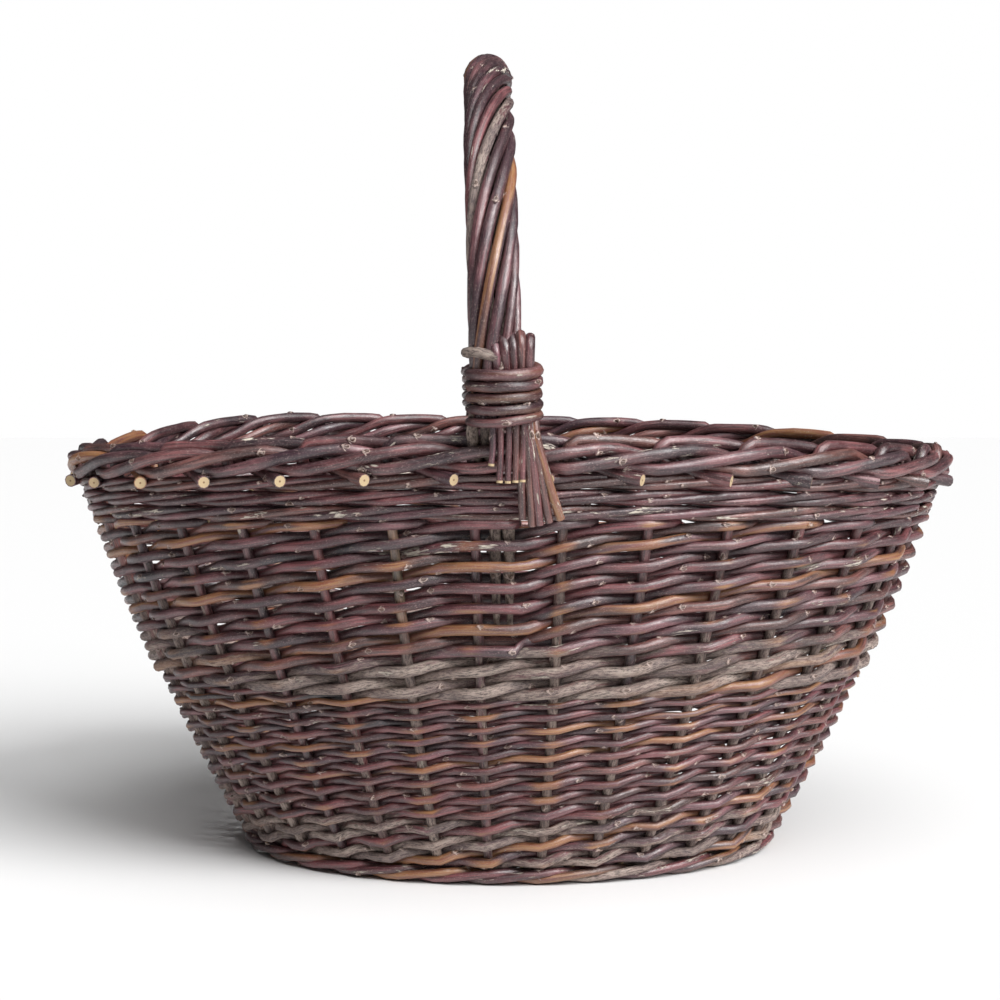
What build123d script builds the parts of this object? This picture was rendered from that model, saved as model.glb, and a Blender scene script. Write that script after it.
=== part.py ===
from build123d import *
from math import acos, asin, atan2, cos, floor, pi, radians, sin, sqrt
import os

# A wicker market basket of whole willow rods: an oval base, stakes that rise from it and are
# turned down into the border, rods woven between the stakes, and a bow handle roped with strands.
# Millimetres, +Z up, standing on Z = 0. X runs along the oval, and the handle crosses it along Y.

# Plan and height of the body, on the line of the stakes
base_half_length = 137
base_half_width = 92
rim_half_length = 233.5
rim_half_width = 166
wall_height = 217.5
wall_bulge = 8
wall_bends = 5
side_rise = 10.5

# Stakes: the first stands left of the middle of the front, and half of them reach the back
stake_count = 30
stake_diameter = 4.8
front_stake_x = -14.5
back_stake_x = 3
foot_length = 24
base_height = 9.5

# Woven rods: butt and tip diameters, crossings, and the gap left between rods that touch
rod_gap = 0.25
bottom_wale_diameter = 3.7
bottom_wale_knee = 4.1
lean_drop = 2.2
lower_butt = 4.2
lower_tip = 2.6
lower_crossings = 24
upper_butt = 4.5
upper_tip = 3.9
upper_crossings = 16
top_wale_diameter = 3.6
top_wale_rows = 6
tail_places = 0.4
butt_place = 0.25

# Border of the stakes' own tops: each goes behind one stake, before two and behind one
border_diameter = 5.2
border_reach = 6.6
border_rise = 20.5
behind_height = 18
first_cross_height = 6
front_low = 5
front_high = 12.5
second_cross_height = 13
second_behind_height = 9
last_cross_height = 1.2
cut_end_height = -1.5
cut_end_place = 0.87

# Base of crossed sticks
cross_stick_count = 5
cross_stick_pitch = 24
cross_stick_diameter = 9
long_stick_diameter = 5.5
long_stick_fan = (12, 36)
base_rod_diameter = 5
base_eye_half_length = 80
base_eye_half_width = 22
inner_base_rounds = 7
outer_base_rounds = 3

# Handle: two bow sticks side by side, strands roped round them and a bound collar at each foot
bow_stick_diameter = 6
bow_offset = 12
bow_spring_height = 262
bow_rise = 156
bow_top_x = -11.5
bow_steps = 24
strand_diameter = 5
strand_count = 8
strand_turns = 2.75
strand_steps = 22
strand_room = 1.4
collar_diameter = 5
collar_turns = 5
collar_gap = 0.45
collar_lift = 4.8

# A round rod is drawn with a square section of the same area
square_share = sqrt(pi) / 2
half_count = stake_count // 2
nudge = 0.01
close = 0.95


def side_of(diameter):
    """Side of the square section that stands for a round rod."""
    return diameter * square_share


# The oval of the stakes, measured along its own length at half height
mid_half_length = (base_half_length + rim_half_length) / 2 + wall_bulge
mid_half_width = (base_half_width + rim_half_width) / 2 + wall_bulge
with BuildLine() as oval:
    EllipticalCenterArc((0, 0), mid_half_length, mid_half_width, start_angle=-90, arc_size=360)
oval_line = oval.edge()
oval_length = oval_line.length
front_share = front_stake_x / oval_length
back_share = 0.5 - back_stake_x / oval_length


def plan_angle(place):
    """Angle round the oval of a place, counted in stakes from the front and to the right."""
    step = place % stake_count
    if step <= half_count:
        share = front_share + step * (back_share - front_share) / half_count
    else:
        share = back_share + (step - half_count) * (1 + front_share - back_share) / half_count
    point = oval_line @ (share % 1)
    return atan2(point.X / mid_half_length, -point.Y / mid_half_width)


def half_size(base, rim, height):
    """Half the oval's length or width at a height, straight between the wall's bends."""
    bend = min(floor(height / wall_height * wall_bends), wall_bends - 1)
    low = bend / wall_bends
    high = (bend + 1) / wall_bends
    share = (height / wall_height - low) * wall_bends
    low_size = base + (rim - base) * low + 4 * wall_bulge * low * (1 - low)
    high_size = base + (rim - base) * high + 4 * wall_bulge * high * (1 - high)
    return low_size + (high_size - low_size) * share


def wall_at(angle, height):
    """Point of the stakes' oval at a height, which rises at the middles of the long sides."""
    return Vector(
        half_size(base_half_length, rim_half_length, height) * sin(angle),
        -half_size(base_half_width, rim_half_width, height) * cos(angle),
        height * (1 + side_rise * height / wall_height**2 * cos(angle) ** 2),
    )


def wall_frame(place, height, level=False):
    """Point, direction along the wall and direction out of it, at a place and a height."""
    angle = plan_angle(place)
    along = (wall_at(angle + nudge, height) - wall_at(angle - nudge, height)).normalized()
    point = wall_at(angle, height)
    up = (wall_at(angle, height + nudge) - wall_at(angle, height - nudge)).normalized()
    if level:
        point = Vector(point.X, point.Y, height)
        along = Vector(along.X, along.Y, 0).normalized()
        up = Vector(0, 0, 1)
    return point, along, along.cross(up).normalized()


def rod(stations, sides=4):
    """A rod of straight runs through stations of point, outward direction and diameter."""
    points = [station[0] for station in stations]
    with BuildPart() as piece:
        for number, (point, out, diameter) in enumerate(stations):
            before = points[max(number - 1, 0)]
            after = points[min(number + 1, len(points) - 1)]
            with BuildSketch(Plane(origin=point, x_dir=out, z_dir=after - before)):
                if sides == 4:
                    Rectangle(side_of(diameter), side_of(diameter))
                else:
                    RegularPolygon(diameter / 2, sides)
        loft(ruled=True, clean=False)
    return piece.part


def level_rod(stations):
    """A rod that stays level, with mitred bends, so that the basket stands on its flat side."""
    start, out, diameter = stations[0]
    with BuildPart() as piece:
        with BuildLine():
            Polyline([point for point, out, size in stations])
        with BuildSketch(Plane(origin=start, x_dir=out, z_dir=stations[1][0] - start)):
            Rectangle(side_of(diameter), side_of(diameter))
        sweep(transition=Transition.RIGHT)
    return piece.part


def write_group(label, pieces):
    """Write one node of separate solids."""
    solids = [solid for piece in pieces for solid in piece.solids()]
    export_step(Compound(label=label, children=solids), f"parts/{label}.step")


def reach_round(post_half, diameter):
    """Distance from a post's middle line to a woven rod that passes it."""
    return post_half * 1.25 + side_of(diameter) / 2 * 1.05 + rod_gap


bow_half = bow_stick_diameter / 2
bow_first = bow_offset - bow_stick_diameter - rod_gap
bow_last = bow_offset + bow_stick_diameter + rod_gap
bow_foot_height = wall_height * (wall_bends - 2) / wall_bends


def passing(place, height, face, diameter, level=False):
    """Stations of a woven rod where it passes a stake, or a stake with the bow beside it."""
    point, along, out = wall_frame(place, height, level)
    if place % half_count or height < bow_foot_height - 3 * diameter:
        return [(point + out * face * reach_round(side_of(stake_diameter) / 2, diameter), out, diameter)]
    reach = face * (bow_half + side_of(diameter) / 2 + rod_gap)
    before = along * -side_of(stake_diameter) / 2
    beyond = along * (bow_last + diameter / 2)
    return [(point + before + out * reach, out, diameter), (point + beyond + out * reach, out, diameter)]


def rand_rod(start, bottom, crossings, butt, tip):
    """One rod that goes before one stake and behind one, climbing a layer at every stake."""
    height = bottom
    point, along, out = wall_frame(start - butt_place, height)
    reach = reach_round(side_of(stake_diameter) / 2, butt)
    stations = [(point + out * reach * (1 - 2 * butt_place), out, butt)]
    for crossing in range(crossings):
        diameter = butt + (tip - butt) * crossing / (crossings - 1)
        face = -1 if crossing % 2 else 1
        stations += passing(start + crossing, height, face, diameter)
        height += diameter + rod_gap
    last_height = height - tip - rod_gap
    point, along, out = wall_frame(start + crossings - 1 + tail_places, last_height)
    stations.append((point - out * reach_round(side_of(stake_diameter) / 2, tip), out, tip))
    return rod(stations)


def rand_height(crossings, butt, tip):
    """Rise of a set of such rods, from their first crossing to their last."""
    diameters = [butt + (tip - butt) * number / (crossings - 1) for number in range(crossings - 1)]
    return sum(diameters) + rod_gap * (crossings - 1)


def wale_rod(phase, height, diameter, knee=0.0, level=False):
    """One row of three-rod wale: before two stakes and behind one, right round."""
    stations = []
    for step in range(1, stake_count + 1):
        place = phase + step
        face = -1 if step % 3 == 2 else 1
        stations += passing(place, height + (knee if face < 0 else 0), face, diameter, level)
    first, second, last = stations[0][0], stations[-1][0], stations[0]
    middle = first + (second - first) / 2
    stations.insert(0, (first + (middle - first) * close, last[1], diameter))
    stations.append((second + (middle - second) * close, last[1], diameter))
    return level_rod(stations) if level and not knee else rod(stations)


# Heights of the courses, each from the one below
wale_side = side_of(bottom_wale_diameter)
bottom_rows = [wale_side / 2 + row * (wale_side + rod_gap) for row in range(3)]
lower_bottom = bottom_rows[2] + (bottom_wale_diameter + lower_butt) / 2 + lean_drop
upper_bottom = (
    lower_bottom + rand_height(lower_crossings, lower_butt, lower_tip) + (lower_tip + upper_butt) / 2 + rod_gap
)
top_wale_bottom = (
    upper_bottom
    + rand_height(upper_crossings, upper_butt, upper_tip)
    + (upper_tip + top_wale_diameter) / 2
    + rod_gap
)
top_wale_top = top_wale_bottom + (top_wale_rows - 1) * (top_wale_diameter + rod_gap)
border_bottom = wall_height - border_rise


def border_stations(stake):
    """Where a stake's top runs in the border, bay by bay, from its upper bend to its cut end."""
    reach = border_reach
    plain = [
        [(0, 0, border_rise)],
        [(0, -reach, behind_height), (0.5, 0, first_cross_height)],
        [(0, reach, front_low)],
        [(0, reach, front_high), (0.5, 0, second_cross_height)],
        [(0, -reach, second_behind_height), (0.5, 0, last_cross_height)],
    ]
    # Beside the bow the rods stay on their own side until they are past it
    beside_bow = [
        [(0, 0, border_rise), (0.095, 1 - reach, border_rise)],
        [(0, -reach, behind_height), (0.53, -reach, 9), (0.76, 0, 7)],
        [(0, reach, front_low), (0.53, reach, 7.5)],
        [(0, reach, front_high), (0.53, reach, 14.2), (0.76, 0, second_cross_height)],
        [(0, -reach, second_behind_height), (0.53, -reach, 3.2), (0.76, 0, 1.9)],
    ]
    run = []
    for bay in range(5):
        place = stake + bay
        bends = plain[bay] if place % half_count else beside_bow[bay]
        run += [(place + share, out, height) for share, out, height in bends]
    run.append((stake + 4 + cut_end_place, reach + 0.6, cut_end_height))
    return run


def side_stake(stake):
    """One stake: its foot in the base, its upright and its run in the border."""
    point, along, out = wall_frame(stake, base_height)
    inward = Vector(out.X, out.Y, 0).normalized()
    stations = [
        (point - inward * foot_length, Vector(0, 0, 1), stake_diameter),
        (point, (Vector(0, 0, 1) + out).normalized(), stake_diameter),
    ]
    for bend in range(1, wall_bends):
        point, along, out = wall_frame(stake, wall_height * bend / wall_bends)
        stations.append((point, out, stake_diameter))
    for place, reach, height in border_stations(stake):
        point, along, out = wall_frame(place, border_bottom + height)
        stations.append((point + out * reach, out, border_diameter))
    return rod(stations)


os.makedirs("parts", exist_ok=True)

stakes = [side_stake(stake) for stake in range(stake_count)]
write_group("front_stakes", stakes[:5] + stakes[26:])
write_group("right_end_stakes", stakes[5:11])
write_group("back_stakes", stakes[11:20])
write_group("left_end_stakes", stakes[20:26])

lower_rods = [
    rand_rod(start, lower_bottom, lower_crossings, lower_butt, lower_tip) for start in range(stake_count)
]
upper_rods = [
    rand_rod(start, upper_bottom, upper_crossings, upper_butt, upper_tip) for start in range(stake_count)
]
for name, first, last in (("front", 0, 8), ("right", 8, 15), ("back", 15, 23), ("left", 23, 30)):
    write_group(f"lower_rand_rods_from_{name}", lower_rods[first:last])
    write_group(f"upper_rand_rods_from_{name}", upper_rods[first:last])

write_group(
    "bottom_wale_rods",
    [
        wale_rod(row, bottom_rows[row], bottom_wale_diameter, bottom_wale_knee * (row == 2), True)
        for row in range(3)
    ],
)
for label, first in (("lower_top_wale_rods", 0), ("upper_top_wale_rods", 3)):
    write_group(
        label,
        [
            wale_rod(row, top_wale_bottom + row * (top_wale_diameter + rod_gap), top_wale_diameter)
            for row in range(first, first + 3)
        ],
    )

# Base: cross sticks with slits, long sticks through the slits, and rounds of rods over and under
foot_half_length = half_size(base_half_length, rim_half_length, base_height)
foot_half_width = half_size(base_half_width, rim_half_width, base_height)
stick_margin = foot_length + 2 * rod_gap
eye_room = base_rod_diameter
inner_last_margin = stick_margin + base_rod_diameter / 2
long_side = side_of(long_stick_diameter)
cross_half = cross_stick_diameter / 2 * cos(pi / 8)
fan = [angle * side for angle in long_stick_fan for side in (-1, 1)]
cross_xs = [(number - (cross_stick_count - 1) / 2) * cross_stick_pitch for number in range(cross_stick_count)]


def base_edge(margin):
    """Half length and half width of the base's oval inside the stakes' line."""
    return foot_half_length - margin, foot_half_width - margin


def cross_stick(x):
    """One cross stick with the slit that holds the long sticks."""
    length, width = base_edge(stick_margin)
    half = width * sqrt(1 - (x / length) ** 2)
    slit_width = 2 * base_eye_half_width * sin(radians(long_stick_fan[-1])) + long_side
    with BuildPart() as stick:
        with BuildSketch(Plane.XZ.offset(-half)):
            with Locations((x, base_height)):
                RegularPolygon(cross_stick_diameter / 2, 8, rotation=22.5)
        extrude(amount=2 * half)
        with Locations((x, 0, base_height)):
            Box(cross_stick_diameter, slit_width, long_side + 2 * rod_gap, mode=Mode.SUBTRACT)
    return stick.part


def long_stick(angle):
    """One long stick, straight through the slits and fanned at both ends."""
    length, width = base_edge(stick_margin)
    turn = radians(angle)
    half_eye = base_eye_half_length - eye_room
    half_eye_width = base_eye_half_width - eye_room
    run = [(-length, width), (-half_eye, half_eye_width), (half_eye, half_eye_width), (length, width)]
    points = [Vector(along * cos(turn), across * sin(turn), base_height) for along, across in run]
    return rod([(point, Vector(0, 0, 1), long_stick_diameter) for point in points])


def base_round(length, width, spokes, turn):
    """One closed round of the base, over one spoke and under the next."""
    stations = []
    for angle, half, number in spokes:
        reach = (half + side_of(base_rod_diameter) / 2 + rod_gap) * (1 if (number + turn) % 2 else -1)
        point = Vector(length * sin(angle), -width * cos(angle), base_height + reach)
        out = Vector(sin(angle) / length, -cos(angle) / width, 0).normalized()
        stations.append((point, out, base_rod_diameter))
    first, last = stations[0], stations[-1]
    middle = (first[0] + last[0]) / 2
    stations.insert(0, (first[0] + (middle - first[0]) * close, first[1], base_rod_diameter))
    stations.append((last[0] + (middle - last[0]) * close, last[1], base_rod_diameter))
    return rod(stations)


def stick_spokes(length):
    """Angle, half height and number of each stick that a round crosses; a fan has one number."""
    spokes = []
    for number, x in enumerate(cross_xs):
        tilt = acos(x / length)
        spokes += [(pi / 2 - tilt, cross_half, number), (pi / 2 + tilt, cross_half, -number)]
    for angle in fan:
        spokes += [
            (pi / 2 + radians(angle), long_side / 2, cross_stick_count),
            (-pi / 2 + radians(angle), long_side / 2, -1),
        ]
    return sorted((angle % (2 * pi), half, number) for angle, half, number in spokes)


inner_length, inner_width = base_edge(inner_last_margin)
inner_rounds = []
for number in range(inner_base_rounds):
    share = number / (inner_base_rounds - 1)
    length = base_eye_half_length + (inner_length - base_eye_half_length) * share
    width = base_eye_half_width + (inner_width - base_eye_half_width) * share
    inner_rounds.append(base_round(length, width, stick_spokes(length), number))
outer_rounds = []
outer_first_margin = reach_round(side_of(stake_diameter) / 2, bottom_wale_diameter) + base_rod_diameter
for number in range(outer_base_rounds):
    share = number / (outer_base_rounds - 1)
    length, width = base_edge(outer_first_margin + (foot_length - 2 - outer_first_margin) * share)
    feet = [(plan_angle(stake), side_of(stake_diameter) / 2, stake) for stake in range(stake_count)]
    outer_rounds.append(base_round(length, width, feet, number))
write_group("base_cross_sticks", [cross_stick(x) for x in cross_xs])
write_group("base_long_sticks", [long_stick(angle) for angle in fan])
write_group("inner_base_rods", inner_rounds)
write_group("outer_base_rods", outer_rounds)

# Handle: the bow rises out of the wall and runs over in an arch that leans to the left
front_top, front_along, front_out = wall_frame(0, wall_height)
back_top, back_along, back_out = wall_frame(half_count, wall_height)
front_x = (front_top + front_along * bow_offset).X
back_x = (back_top + back_along * bow_offset).X
bow_start = asin((front_top.Z - bow_spring_height) / bow_rise)
bow_half_span = -front_top.Y / cos(bow_start)


def bow_at(turn):
    """Point of the bow's middle line at an angle of its arch, zero at the front."""
    foot_x = front_x if turn < pi / 2 else back_x
    share = (sin(turn) - sin(bow_start)) / (1 - sin(bow_start))
    return Vector(
        foot_x + (bow_top_x - foot_x) * share,
        -bow_half_span * cos(turn),
        bow_spring_height + bow_rise * sin(turn),
    )


def bow_frame(turn):
    """Point, direction along the bow, direction to its right and direction out of the arch."""
    along = (bow_at(turn + nudge) - bow_at(turn - nudge)).normalized()
    side = Vector(1, 0, 0)
    side = (side - along * along.dot(side)).normalized()
    return bow_at(turn), along, side, side.cross(along)


def bow_stick(face):
    """One of the two sticks of the bow, from its point in the front wall to that in the back."""
    half_gap = (bow_stick_diameter + rod_gap) / 2
    stations = []
    for bend in range(wall_bends - 2, wall_bends):
        point, along, out = wall_frame(0, wall_height * bend / wall_bends)
        stations.append((point + along * (bow_offset + face * half_gap), out, bow_stick_diameter))
    for step in range(bow_steps + 1):
        turn = bow_start + (pi - 2 * bow_start) * step / bow_steps
        point, along, side, out = bow_frame(turn)
        stations.append((point + side * face * half_gap, out, bow_stick_diameter))
    for bend in range(wall_bends - 1, wall_bends - 3, -1):
        point, along, out = wall_frame(half_count, wall_height * bend / wall_bends)
        stations.append((point + along * (bow_offset - face * half_gap), out, bow_stick_diameter))
    return rod(stations, 6)


collar_reach = (collar_turns - 1) / 2 * (collar_diameter + collar_gap)
collar_turn = bow_start + (collar_lift + collar_diameter / 2 + collar_reach) / bow_rise
strand_start = collar_turn - collar_reach / bow_rise
strand_radius = bow_stick_diameter + rod_gap + strand_diameter / 2 + strand_room


def roping_strand(number):
    """One strand, wound round the bow from one collar to the other."""
    stations = []
    for step in range(strand_steps + 1):
        share = step / strand_steps
        point, along, side, out = bow_frame(strand_start + (pi - 2 * strand_start) * share)
        angle = 2 * pi * (number / strand_count - strand_turns * share)
        radial = side * cos(angle) + out * sin(angle)
        stations.append((point + radial * strand_radius, side, strand_diameter))
    return rod(stations)


def collar_point(frame, angle):
    """Point and direction of the collar's middle line after winding an angle."""
    point, along, side, out = frame
    radius = strand_radius + strand_diameter / 2 + collar_diameter / 2 + rod_gap
    climb = (collar_diameter + collar_gap) / (2 * pi)
    place = point + (side * cos(angle) + out * sin(angle)) * radius
    place += along * climb * (angle - pi * collar_turns)
    heading = (out * cos(angle) - side * sin(angle)) * radius + along * climb
    return place, heading.normalized()


def least_gap(line):
    """Least gap between the collar's turns, from points along its middle line."""
    steps = round(line.length / (collar_diameter / 4))
    points = [line @ (step / steps) for step in range(steps + 1)]
    half_turn = round(pi * strand_radius / (collar_diameter / 4))
    apart = [
        (later - point).length
        for number, point in enumerate(points)
        for later in points[number + half_turn :]
    ]
    return min(apart) - side_of(collar_diameter)


def collar(turn):
    """A collar of close turns, one unbroken rod, wound in quarter turns of two arcs each."""
    frame = bow_frame(turn)
    start, heading = collar_point(frame, 0)
    with BuildPart() as binding:
        with BuildLine() as path:
            Line(start - heading * collar_diameter, start)
            for quarter in range(4 * collar_turns):
                end, end_heading = collar_point(frame, (quarter + 1) * pi / 2)
                span = end - start
                turned = 2 * (1 - heading.dot(end_heading))
                lean = span.dot(heading + end_heading)
                reach = (sqrt(lean**2 + turned * span.dot(span)) - lean) / turned
                middle = (start + end + (heading - end_heading) * reach) / 2
                first = TangentArc(start, middle, tangent=heading)
                TangentArc(middle, end, tangent=first % 1)
                start, heading = end, end_heading
            Line(start, start + heading * collar_diameter)
        begin = path.edges()[0]
        with BuildSketch(Plane(origin=begin @ 0, x_dir=frame[1], z_dir=begin % 0)):
            Rectangle(side_of(collar_diameter), side_of(collar_diameter))
        sweep(path=path.wire())
    print("collar, least gap between turns:", round(least_gap(path.wire()), 3))
    return binding.part


write_group("bow_left_stick", [bow_stick(-1)])
write_group("bow_right_stick", [bow_stick(1)])
write_group("roping_strands", [roping_strand(number) for number in range(strand_count)])
write_group("collar_bindings", [collar(collar_turn), collar(pi - collar_turn)])
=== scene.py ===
"""Looks of a willow market basket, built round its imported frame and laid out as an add-on."""

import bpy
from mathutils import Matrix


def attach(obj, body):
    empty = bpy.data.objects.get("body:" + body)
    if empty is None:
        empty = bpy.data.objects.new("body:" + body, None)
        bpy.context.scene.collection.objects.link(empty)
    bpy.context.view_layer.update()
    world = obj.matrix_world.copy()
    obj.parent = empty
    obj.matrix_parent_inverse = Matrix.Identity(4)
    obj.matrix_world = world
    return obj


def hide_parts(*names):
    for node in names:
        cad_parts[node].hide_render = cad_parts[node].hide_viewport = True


bl_info = {
    "name": "Wicker Market Basket",
    "version": (1, 0, 0),
    "blender": (4, 5, 0),
    "location": "3D View > Sidebar > Basket",
    "description": "Builds a willow market basket with a roped bow handle, and its stage",
    "category": "Object",
}

import math
import random

import bmesh
import bpy
import numpy as np
from mathutils import Matrix, Vector

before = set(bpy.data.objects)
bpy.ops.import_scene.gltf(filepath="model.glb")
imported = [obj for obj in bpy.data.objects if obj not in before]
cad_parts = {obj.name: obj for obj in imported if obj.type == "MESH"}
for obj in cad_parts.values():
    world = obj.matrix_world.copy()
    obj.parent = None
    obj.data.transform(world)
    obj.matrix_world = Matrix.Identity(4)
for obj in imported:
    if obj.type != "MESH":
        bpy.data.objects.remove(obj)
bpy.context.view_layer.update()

MM = 0.001
STAKES = 30
HALF = STAKES // 2
ROD_SIDES = 10
RING_SPACING = 0.0042
TOUCH = 0.00012

# A wand's unevenness, and the buds that stand on it
UNEVEN = 0.022
BUD_TURN = math.radians(144)
BUD_LEAST_SPACING = 0.016
BUD_SWELL = 0.08
BUD_SWELL_LENGTH = 0.0035
SCAR_LENGTH = 0.0075
SCAR_TURN = 1.9
# Length along a rod of the painted gold highlight at each front bend
BEND_SHEEN_LENGTH = 0.007

# A woven rod: where its butt and tip end, in stakes from the first and last that it crosses,
# how much thicker than its layer it may be, its share of that before and behind a stake, and
# how much lower it lies behind one
BUTT_PLACE = 1.38
TIP_PLACE = 0.4
ROD_THICKNESS = (1.08, 1.2)
FRONT_SHARE = 0.97
BEHIND_SHARE = 1.07
BUTT_SHARE = 1.08
BEHIND_DROP = 0.0011

# Shares of the wall's height: the bow's point and the knots of its foot, and of a stake's upright
BOW_POINT = 0.6
BOW_FOOT_SHARES = (BOW_POINT, 0.72, 0.84)
UPRIGHT_SHARES = (0.075, 0.25, 0.45, 0.65, 0.82)


def size(name, description, default):
    """A length that a user can change."""
    return bpy.props.FloatProperty(
        name=name, description=description, default=default, unit="LENGTH", subtype="DISTANCE", precision=4
    )


def count(name, description, default):
    """A number of pieces that a user can change."""
    return bpy.props.IntProperty(name=name, description=description, default=default, min=1)


def colour(name, description, default):
    """A colour that a user can change."""
    return bpy.props.FloatVectorProperty(
        name=name, description=description, default=default, subtype="COLOR", size=3, min=0, max=1
    )


class BasketWall(bpy.types.PropertyGroup):
    """Sizes of the leaning oval wall and its stakes."""

    base_half_length: size("Base half length", "Half the oval at the bottom, along it", 0.137)
    base_half_width: size("Base half width", "Half the oval at the bottom, across it", 0.092)
    rim_half_length: size("Rim half length", "Half the oval under the border, along it", 0.2322)
    rim_half_width: size("Rim half width", "Half the oval under the border, across it", 0.166)
    wall_height: size("Wall height", "Height of the upper bends of the stakes", 0.2175)
    bulge: size("Bulge", "How far the wall swells between bottom and rim", 0.008)
    side_rise: size("Side rise", "How much higher the long sides stand than the ends", 0.0105)
    front_stake: size("Front stake", "Place of the first stake along the front", -0.0145)
    back_stake: size("Back stake", "Place of the middle stake along the back", 0.003)
    stake: size("Stake", "Thickness of a stake", 0.0048)
    border: size("Border rod", "Thickness of a stake's top in the border", 0.0057)
    base_height: size("Base height", "Height of the middle of the base", 0.0095)
    foot: size("Stake foot", "Length of a stake's foot in the base", 0.024)


class BasketRods(bpy.types.PropertyGroup):
    """Sizes of the rods woven between the stakes."""

    gap: size("Gap", "Room between the layers of woven rods", 0.00025)
    lower_bottom: size("Lower rods", "Height of the first layer of the lower rods", 0.01485)
    lower_butt: size("Lower butt", "Thickness of a lower rod at its butt", 0.0042)
    lower_tip: size("Lower tip", "Thickness of a lower rod at its tip", 0.0026)
    upper_bottom: size("Upper rods", "Height of the first layer of the upper rods", 0.1034)
    upper_butt: size("Upper butt", "Thickness of an upper rod at its butt", 0.0049)
    upper_tip: size("Upper tip", "Thickness of an upper rod at its tip", 0.0042)
    lower_crossings: count("Lower crossings", "Stakes that a lower rod passes", 24)
    upper_crossings: count("Upper crossings", "Stakes that an upper rod passes", 17)
    wale: size("Wale rod", "Thickness of a rod of the wales", 0.0037)
    wale_pitch: size("Wale layer", "Height of a layer of the wales", 0.00335)
    top_wale: size("Top wale", "Height of the middle of its first round", 0.1850)
    lower_dip: size("Lower dip", "How far a lower rod sags at a stake", 0.0025)
    upper_dip: size("Upper dip", "How far an upper rod sags at a stake", 0.0011)


class BasketHandle(bpy.types.PropertyGroup):
    """Sizes of the bow, its roping and its collars."""

    bow: size("Bow stick", "Thickness of each of the two sticks of the bow", 0.006)
    bow_offset: size("Bow offset", "Distance from the stake to the bow beside it", 0.012)
    spring: size("Bow spring", "Height from which the arch is measured", 0.262)
    rise: size("Bow rise", "Rise of the arch above that height", 0.1508)
    top_x: size("Lean", "Place of the top of the bow along the basket", -0.0115)
    strand: size("Strand", "Thickness of a roping strand", 0.0048)
    strand_room: size("Strand room", "Room between the bow and the strands", 0.0014)
    strands: count("Strands", "Roping strands round the bow", 10)
    collar: size("Collar rod", "Thickness of the rod that binds a foot of the handle", 0.005)
    collar_pitch: size("Collar pitch", "Distance from one turn of a collar to the next", 0.0052)
    collar_turns: count("Collar turns", "Turns of a collar", 5)


class BasketBark(bpy.types.PropertyGroup):
    """Colours of the willow's bark and wood."""

    maroon: colour("Maroon", "Bark of most rods", (0.165, 0.033, 0.043))
    purple: colour("Purple", "Bark of the purple rods", (0.118, 0.040, 0.060))
    brown: colour("Brown", "Bark of the brown rods", (0.20, 0.068, 0.045))
    # Orange also paints the gold highlight at the front bends of the woven rods
    orange: colour("Orange", "Sunny side of a rod", (0.33, 0.16, 0.062))
    slate: colour("Slate", "Bark of the blue-grey rods", (0.045, 0.052, 0.066))
    rough: colour("Rough bark", "Old bark near the butts", (0.40, 0.315, 0.265))
    peel: colour("Peel", "Loose dry skin of the bark", (0.62, 0.56, 0.47))
    scar: colour("Scar", "Leaf scars round the buds", (0.50, 0.38, 0.33))
    wood: colour("Wood", "Cut ends", (0.50, 0.37, 0.21))
    pith: colour("Pith", "Middle of a cut end", (0.20, 0.11, 0.05))
    floor: colour("Floor", "Floor and backdrop", (0.80, 0.80, 0.80))


def settings():
    """The sizes and colours of this scene."""
    scene = bpy.context.scene
    return scene.basket_wall, scene.basket_rods, scene.basket_handle, scene.basket_bark


# The oval wall


class Wall:
    """The line of the stakes, as an oval that grows and leans outwards with height."""

    def __init__(self):
        self.sizes = bpy.context.scene.basket_wall
        sizes = self.sizes
        half_length = (sizes.base_half_length + sizes.rim_half_length) / 2 + sizes.bulge
        half_width = (sizes.base_half_width + sizes.rim_half_width) / 2 + sizes.bulge
        self.turns = np.linspace(0, math.tau, 4001)
        speed = np.hypot(half_length * np.cos(self.turns), half_width * np.sin(self.turns))
        run = np.concatenate(([0], np.cumsum((speed[1:] + speed[:-1]) / 2 * np.diff(self.turns))))
        self.shares = run / run[-1]
        self.front = sizes.front_stake / run[-1]
        self.back = 0.5 - sizes.back_stake / run[-1]

    def angle(self, place):
        """Angle round the oval of a place, counted in stakes from the front and to the right."""
        step = place % STAKES
        if step <= HALF:
            share = self.front + step * (self.back - self.front) / HALF
        else:
            share = self.back + (step - HALF) * (1 + self.front - self.back) / HALF
        return float(np.interp(share % 1, self.shares, self.turns))

    def half(self, base, rim, height):
        """Half the oval's length or width at a height."""
        share = height / self.sizes.wall_height
        return base + (rim - base) * share + 4 * self.sizes.bulge * share * (1 - share)

    def at(self, angle, height):
        """Point of the oval at a height, which rises at the middles of the long sides."""
        sizes = self.sizes
        lift = sizes.side_rise * height / sizes.wall_height**2 * math.cos(angle) ** 2
        return Vector((
            self.half(sizes.base_half_length, sizes.rim_half_length, height) * math.sin(angle),
            -self.half(sizes.base_half_width, sizes.rim_half_width, height) * math.cos(angle),
            height * (1 + lift),
        ))

    def frame(self, place, height):
        """Point, direction along the wall and level direction out of it."""
        angle = self.angle(place)
        along = (self.at(angle + 0.01, height) - self.at(angle - 0.01, height)).normalized()
        return self.at(angle, height), along, Vector((along.y, -along.x, 0)).normalized()

    def spot(self, place, reach, height):
        """A point at a distance out of the wall."""
        point, _, out = self.frame(place, height)
        return point + out * reach


# Rods: a straight wand with its buds, bent along a path

wands = {}


def deselect():
    """Leave nothing selected."""
    for thing in bpy.context.selected_objects:
        thing.select_set(False)


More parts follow.
